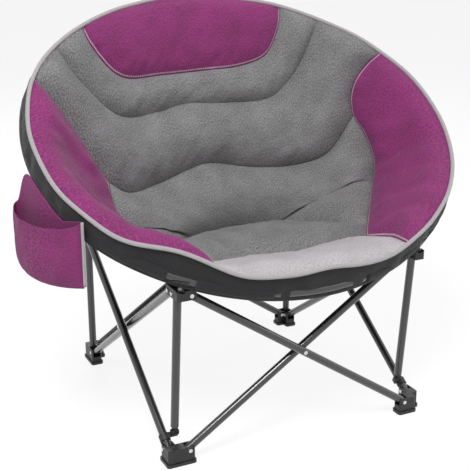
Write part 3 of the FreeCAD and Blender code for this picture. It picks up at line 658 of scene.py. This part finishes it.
class SAUCER_OT_frame(bpy.types.Operator):
    """Give tubes, plastic and pins their finishes"""
    bl_idname = "saucer.frame"
    bl_label = "Frame finishes"

    def execute(self, context):
        by_slot = {"frame_tube": "powder_coat", "plastic_black": "moulded_plastic",
                   "pin_steel": "plated_steel", "fabric_black": "black_cloth",
                   "fabric_purple": "purple_cloth", "fabric_grey": "grey_cloth",
                   "fabric_light": "light_cloth"}
        for part in FRAME["record"]["subparts"]:
            thing = FRAME["nodes"][part["node"]]
            thing.data.materials.clear()
            thing.data.materials.append(finish(by_slot[part["material_slot"]]))
        return {"FINISHED"}


class SAUCER_OT_panels(bpy.types.Operator):
    """Sew the padded panels of the bowl"""
    bl_idname = "saucer.panels"
    bl_label = "Padded panels"

    def execute(self, context):
        size = context.scene.saucer_sizes
        n, m = 141, 71
        head, upper, lower, lip = [seam(size, s, n) for s in
                                   (HEAD_SEAM, UPPER_SEAM, LOWER_SEAM, LIP_SEAM)]
        sides = [seam(size, s, 801) for s in (LEFT_WING_SIDE, RIGHT_WING_SIDE)]
        crease = seam(size, CREASE, n)
        cuts = [int(np.linalg.norm(side - crease[end], axis=1).argmin())
                for side, end in zip(sides, (0, -1))]
        for side, k, end in zip(sides, cuts, (0, -1)):
            crease[end] = side[k]
        thighs = [spaced(side[:k + 1], m) for side, k in zip(sides, cuts)]
        hips = [spaced(side[k:], m) for side, k in zip(sides, cuts)]
        tops = [seam(size, s, 401) for s in (LEFT_WING_TOP, RIGHT_WING_TOP)]
        arms = [seam(size, s, 401) for s in (LEFT_LIP_SIDE, RIGHT_LIP_SIDE)]

        def snapped(line, start, end):
            line = line.copy()
            line[0], line[-1] = start, end
            return line

        across = spaced(np.vstack([tops[0][:-1], lower[:-1], tops[1]]), n)
        rims = {}
        for word, side, lines in (("left", -1, (arms[0], tops[0], upper, head)),
                                  ("right", 1, (arms[1], tops[1][::-1], upper[::-1], head[::-1]))):
            starts = [line[0] for line in lines]
            shares = [s[1] / size.ring_half_depth for s in starts]
            rims[word] = [snapped(rim_line(size, (side, shares[i]), (side, shares[i + 1]),
                                           n if i == 0 else m), starts[i], starts[i + 1])
                          for i in range(3)]
        back = snapped(rim_line(size, HEAD_SEAM[0], HEAD_SEAM[-1], n), head[0], head[-1])
        front = snapped(rim_line(size, LEFT_LIP_SIDE[0], RIGHT_LIP_SIDE[0], n),
                        arms[0][0], arms[1][0])
        left, right = rims["left"], rims["right"]
        stub = np.linspace(0, 1, m)[:, None]
        plan = [
            ("head_pad", (head, back, head[0] + 0 * stub, head[-1] + 0 * stub), 0.75,
             "purple", "head_panel", 11, (0, 1, 1, 1), 0.0006, 0.6),
            ("upper_back_pad", (upper, head, left[2], right[2]), 1.0,
             "grey", "back_cushion", 21, (0, 0, 1, 1), 0.0, 0.7),
            ("middle_back_pad", (across, upper, left[1], right[1]), 1.25,
             "grey", "back_cushion", 31, (0, 0, 1, 1), 0.0, 0.75),
            ("lower_back_pad", (crease, lower, hips[0], hips[1]), 1.25,
             "grey", "back_cushion", 41, (0, 0, 0, 0), 0.0, 0.75),
            ("seat_pad", (lip, crease, thighs[0], thighs[1]), 1.15,
             "grey", "seat_cushion", 51, (0, 0, 0, 0), 0.0006, 0.7),
            ("front_lip_pad", (front, lip, spaced(arms[0], m), spaced(arms[1], m)), 0.7,
             "light", "front_lip", 61, (1, 0, 0, 0), 0.0008, 0.5),
            ("left_wing_pad", (spaced(arms[0], m), spaced(tops[0], m), left[0],
                               spaced(sides[0], n)), 1.0,
             "purple", "side_wings", 71, (0, 0, 1, 0), 0.0028, 0.55),
            ("right_wing_pad", (spaced(arms[1][::-1], m), spaced(tops[1], m),
                                spaced(sides[1], n), right[0]), 1.0,
             "purple", "side_wings", 81, (0, 0, 0, 1), 0.0020, 0.55),
        ]
        for name, borders, crown, colour, node, seed, rim, drape, fill in plan:
            made = panel(size, name, borders, size.crown * crown, finish(colour + "_cloth"),
                         seed, rim, drape)
            close_pole(made)
            folds_with_frame(made, node, slot="fabric_" + colour, fill=fill)
        return {"FINISHED"}


class SAUCER_OT_rim(bpy.types.Operator):
    """Roll the binding round the edge and hang the black band under it"""
    bl_idname = "saucer.rim"
    bl_label = "Binding and rim band"

    def execute(self, context):
        size = context.scene.saucer_sizes
        turn = np.linspace(-math.pi, math.pi, 721)[:-1]
        u, v = oval(size, turn)
        edge = edge_shift(size, u, v)
        out_u, out_v = oval(size, turn, -0.0015)
        path = at(size, out_u, out_v, size.rim_rise + 0.002) + edge
        made = tube("edge_binding", path, size.binding, finish("rolled_binding"), closed=True)
        folds_with_frame(made, slot="fabric_light")
        drop = np.linspace(0, 1, 16)[:, None]
        bulge = np.sin(drop * math.pi) * 0.006
        gather = 0.0024 * ripple(turn[None] * RING_RUN + 0 * drop, drop * 0.03, 0.045, 9)
        gather = gather * np.sin(drop * math.pi)
        out = -(0.001 + bulge + gather + 0.011 * drop ** 2)
        walls = []
        for inset in (0.0, 0.0022):
            u, v = oval(size, turn[None] + 0 * drop, out + inset)
            high = size.rim_rise * (1 - drop) - 0.012 * drop
            walls.append(at(size, u, v, high) + edge[None] * (1 - drop ** 2)[..., None])
        points = np.concatenate([walls[0], walls[1][::-1]])
        rows, cols = points.shape[:2]
        faces = quads(rows + 1, cols, wrap=True) % (rows * cols)
        run = np.repeat((turn * 0.47)[None], rows, 0)
        weave = np.stack([run, np.repeat(np.linspace(0, 0.1, rows)[:, None], cols, 1)], axis=-1)
        made = piece("rim_band", points, faces, finish("black_cloth"), weave)
        close_pole(made)
        folds_with_frame(made, slot="fabric_black")
        strip = np.linalg.norm(np.diff(walls[0], axis=0), axis=-1).sum(axis=0).mean()
        loop = np.linalg.norm(np.roll(walls[0], -1, axis=1) - walls[0], axis=-1).sum(axis=1).mean()
        return {"FINISHED"}


class SAUCER_OT_shell(bpy.types.Operator):
    """Hang the black shell inside the ring"""
    bl_idname = "saucer.shell"
    bl_label = "Hanging shell"

    def execute(self, context):
        size = context.scene.saucer_sizes
        n = 150
        lines = [np.stack(oval(size, np.linspace(a, a + math.pi / 2, n), SHELL_INSET), axis=-1)
                 for a in (-math.pi / 4, math.pi / 4, 3 * math.pi / 4, 5 * math.pi / 4)]
        grid = filled(lines[0], lines[2][::-1], lines[3][::-1], lines[1])
        u, v = grid[..., 0], grid[..., 1]
        base = at(size, u, v, bowl(size, u, v, size.bowl_depth, 0.0, SHELL_INSET))
        normal = unit(np.cross(np.gradient(base, axis=1), np.gradient(base, axis=0)))
        near = np.minimum.reduce(border_distance(base))
        around = np.arctan2(u, -v)
        folds = ripple(around * RING_RUN, near * 0.10, 0.075, 91) * np.exp(-near / 0.10)
        folds = folds * (1 - np.exp(-near / 0.012))
        slack = ripple(u, v, 0.2, 92) * 0.003 * (1 - np.exp(-near / 0.05))
        lift = -0.0025 + 0.0040 * folds + slack
        walls = [base + normal * (lift + gap)[..., None] for gap in (0.0012, -0.0012)]
        points = np.concatenate([w.reshape(-1, 3) for w in walls])
        weave = np.tile(np.stack([u, v], axis=-1).reshape(-1, 2), (2, 1))
        made = piece("hanging_shell", points, plate_faces(n, n), finish("black_cloth"), weave)
        folds_with_frame(made, "seat_shell_left", "seat_shell_right", slot="fabric_black")
        steps = [np.diff(base, axis=a) for a in (0, 1)]
        cells = np.cross(steps[0][:, :-1], steps[1][:-1])
        spans = [np.linalg.norm(s, axis=-1).sum(axis=a).max() for a, s in enumerate(steps)]
        return {"FINISHED"}


class SAUCER_OT_pocket(bpy.types.Operator):
    """Hang the open side pocket from the ring, left of the sitter"""
    bl_idname = "saucer.pocket"
    bl_label = "Side pocket"

    def execute(self, context):
        size = context.scene.saucer_sizes
        tall, thick = 60, 0.0024
        angle = np.linspace(0, 2 * math.pi, 120, endpoint=False)[None]
        level = np.linspace(0, 1, tall)[:, None]

        def wall(shrink):
            """Rings down the pouch: a rounded box bent along the ring, narrowing to the seam."""
            along = np.sign(np.cos(angle)) * np.abs(np.cos(angle)) ** 0.55
            side = np.sign(np.sin(angle)) * np.abs(np.sin(angle)) ** 0.8
            narrow = np.sqrt(np.maximum(1 - level ** 5, 0))
            turn = np.radians(POCKET_MIDDLE + along * (POCKET_HALF - 40 * shrink))
            u, v = oval(size, turn, -POCKET_OFF_RING)
            c, s = math.cos(size.ring_tilt), math.sin(size.ring_tilt)
            x, y = u + 0 * level, v * c + 0 * level
            inner = np.clip(-side, 0, 1) ** 2
            ring_high = size.ring_height + v * s
            mouth = POCKET_MOUTH + 0.012 * along ** 2 - 0.010 * np.clip(side, 0, 1)
            top = mouth * (1 - inner) + np.maximum(ring_high, mouth) * inner
            low = POCKET_BASE + 0.010 * along ** 2 + shrink
            z = top + (low - top) * level
            bulge = 1 + 0.10 * np.sin(level * 3.14)
            wrinkle = 0.0022 * ripple(along * 0.12, z * 0.7, 0.05, 55) * np.clip(side, 0, 1)
            reach = (POCKET_HALF_THICK - shrink) * side * narrow * bulge + wrinkle * narrow
            way = unit(np.stack([np.sin(turn), -np.cos(turn) * c], axis=-1))
            return np.stack([x + way[..., 0] * reach, y + way[..., 1] * reach, z], axis=-1)

        outside, inside = wall(0.0), wall(thick)
        points = np.concatenate([outside, inside])
        cols = angle.shape[1]
        shell = quads(tall, cols, wrap=True)
        edge = np.arange(cols)
        after = np.roll(edge, -1)
        lip = np.stack([edge, after, after + tall * cols, edge + tall * cols], axis=-1)
        faces = np.concatenate([shell[:, ::-1], shell + tall * cols, lip])
        run = np.repeat(angle * 0.09, tall, 0)
        weave = np.tile(np.stack([run, outside[..., 2]], axis=-1).reshape(-1, 2), (2, 1))
        marks = {"seam_gap": np.full(len(weave), NO_SEAM), "seam_run": np.tile(run.ravel(), 2)}
        made = piece("side_pocket", points, faces, finish("purple_cloth"), weave, marks)
        close_pole(made)
        folds_with_frame(made, slot="fabric_purple")
        steps = [np.diff(outside, axis=a) for a in (0, 1)]
        area = float(np.linalg.norm(np.cross(steps[0][:, :-1], steps[1][:-1]), axis=-1).sum())
        loop = np.linalg.norm(steps[1], axis=-1).sum(axis=1).max()
        corner = outside[:, 0] + (outside[:, 0] - outside.mean(axis=1)) * 0.02
        made = tube("pocket_binding", corner[::3], 0.0032, finish("rolled_binding"))
        folds_with_frame(made, slot="fabric_light")
        return {"FINISHED"}


class SAUCER_OT_sleeves(bpy.types.Operator):
    """Slip the cloth sleeves over the ring's tubes"""
    bl_idname = "saucer.sleeves"
    bl_label = "Ring sleeves"

    def execute(self, context):
        size = context.scene.saucer_sizes
        end = oval_arcs(size)[0]
        link, post, cut = math.asin(LINK_HALF / end), math.asin(POST_OUT / end), 0.030 / end
        spans = {
            "front_sleeve": ((link + 0.04, post - cut), (post + cut, math.pi / 2 - 0.004)),
            "rear_sleeve": ((math.pi / 2 + 0.004, math.pi - post - cut),
                            (math.pi - post + cut, math.pi - 0.002)),
        }
        sides = 20
        for kind, pair in spans.items():
            for word, flip in (("left", -1.0), ("right", 1.0)):
                for number, (a, b) in enumerate(pair):
                    turn = np.linspace(a, b, max(20, int((b - a) * 120)))
                    u, v = oval(size, turn)
                    path = at(size, u * flip, v, 0 * u)
                    ang = np.linspace(0, 2 * math.pi, sides, endpoint=False)
                    uneven = 1 + 0.05 * ripple(turn[:, None] * RING_RUN + 0 * ang[None],
                                               0.01 * np.sin(ang)[None] + 0 * turn[:, None],
                                               0.035, 100 + number + int(flip))
                    made = tube("%s_%s_%d" % (kind, word, number + 1), path, size.sleeve,
                                finish("black_cloth"), sides=sides, squeeze=uneven)
                    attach(made, kind.split("_")[0] + "_arc_" + word)
                    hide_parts(kind + "_" + word)
        return {"FINISHED"}


class SAUCER_OT_stage(bpy.types.Operator):
    """Set floor, lights, world and camera"""
    bl_idname = "saucer.stage"
    bl_label = "Stage"

    def execute(self, context):
        scene = context.scene
        mesh = bpy.data.meshes.new("floor")
        corners = [(x * FLOOR_HALF, y * FLOOR_HALF, 0)
                   for x, y in ((-1, -1), (1, -1), (1, 1), (-1, 1))]
        mesh.from_pydata(corners, [], [(0, 1, 2, 3)])
        floor = bpy.data.objects.new("floor", mesh)
        scene.collection.objects.link(floor)
        mat = bpy.data.materials.new("pale_floor")
        mat.use_nodes = True
        tree = mat.node_tree
        tree.nodes.clear()
        out = tree.nodes.new("ShaderNodeOutputMaterial")
        mix = tree.nodes.new("ShaderNodeMixShader")
        dull = tree.nodes.new("ShaderNodeBsdfDiffuse")
        glow = tree.nodes.new("ShaderNodeEmission")
        seen = seen_rays(tree)
        part = tree.nodes.new("ShaderNodeMath")
        part.operation = "MULTIPLY"
        part.inputs[1].default_value = 0.80
        glow.inputs[1].default_value = 1.08
        dull.inputs[0].default_value = (0.86, 0.86, 0.86, 1)
        tree.links.new(seen, part.inputs[0])
        tree.links.new(part.outputs[0], mix.inputs[0])
        tree.links.new(dull.outputs[0], mix.inputs[1])
        tree.links.new(glow.outputs[0], mix.inputs[2])
        tree.links.new(mix.outputs[0], out.inputs[0])
        mesh.materials.append(mat)
        world = bpy.data.worlds.new("soft_room")
        scene.world = world
        world.use_nodes = True
        tree = world.node_tree
        tree.nodes.clear()
        out = tree.nodes.new("ShaderNodeOutputWorld")
        mix = tree.nodes.new("ShaderNodeMixShader")
        room = tree.nodes.new("ShaderNodeBackground")
        white = tree.nodes.new("ShaderNodeBackground")
        room.inputs["Color"].default_value = (1, 1, 1, 1)
        room.inputs["Strength"].default_value = 0.28
        white.inputs["Color"].default_value = (1, 1, 1, 1)
        tree.links.new(seen_rays(tree), mix.inputs[0])
        tree.links.new(room.outputs[0], mix.inputs[1])
        tree.links.new(white.outputs[0], mix.inputs[2])
        tree.links.new(mix.outputs[0], out.inputs[0])
        for name, place, power, wide in LAMPS:
            lamp = bpy.data.lights.new(name, "AREA")
            lamp.energy = power
            lamp.size = wide
            thing = bpy.data.objects.new(name, lamp)
            scene.collection.objects.link(thing)
            thing.location = place
            aim = np.array([0.0, 0.0, 0.5]) - np.array(place)
            flat = math.hypot(aim[0], aim[1])
            thing.rotation_euler = (math.atan2(flat, -aim[2]), 0,
                                    math.atan2(aim[1], aim[0]) - math.pi / 2)
        eye = bpy.data.cameras.new("camera")
        eye.lens = CAMERA_LENS
        eye.sensor_width = 36.0
        camera = bpy.data.objects.new("camera", eye)
        scene.collection.objects.link(camera)
        camera.location = CAMERA_PLACE
        camera.rotation_euler = (math.radians(90 - CAMERA_DOWN), 0, math.radians(-CAMERA_TURN))
        scene.camera = camera
        scene.view_settings.view_transform = "Standard"
        return {"FINISHED"}


class SAUCER_PT_panel(bpy.types.Panel):
    """Lists the chair's pieces, sizes and colours"""
    bl_idname = "SAUCER_PT_panel"
    bl_label = "Saucer chair"
    bl_space_type = "VIEW_3D"
    bl_region_type = "UI"
    bl_category = "Saucer Chair"

    def draw(self, context):
        for group in (context.scene.saucer_sizes, context.scene.saucer_colours):
            for key in group.__annotations__:
                self.layout.prop(group, key)
        for step in STEPS:
            self.layout.operator(step.bl_idname)


STEPS = (SAUCER_OT_frame, SAUCER_OT_panels, SAUCER_OT_rim, SAUCER_OT_shell, SAUCER_OT_pocket,
         SAUCER_OT_sleeves, SAUCER_OT_stage)
CLASSES = (SaucerSizes, SaucerColours) + STEPS + (SAUCER_PT_panel,)


def register():
    for item in CLASSES:
        bpy.utils.register_class(item)
    bpy.types.Scene.saucer_sizes = bpy.props.PointerProperty(type=SaucerSizes)
    bpy.types.Scene.saucer_colours = bpy.props.PointerProperty(type=SaucerColours)


def unregister():
    del bpy.types.Scene.saucer_colours
    del bpy.types.Scene.saucer_sizes
    for item in reversed(CLASSES):
        bpy.utils.unregister_class(item)


def main():
    register()
    bpy.ops.saucer.frame()
    bpy.ops.saucer.panels()
    bpy.ops.saucer.rim()
    bpy.ops.saucer.shell()
    bpy.ops.saucer.pocket()
    bpy.ops.saucer.sleeves()
    bpy.ops.saucer.stage()


if __name__ == "__main__":
    main()
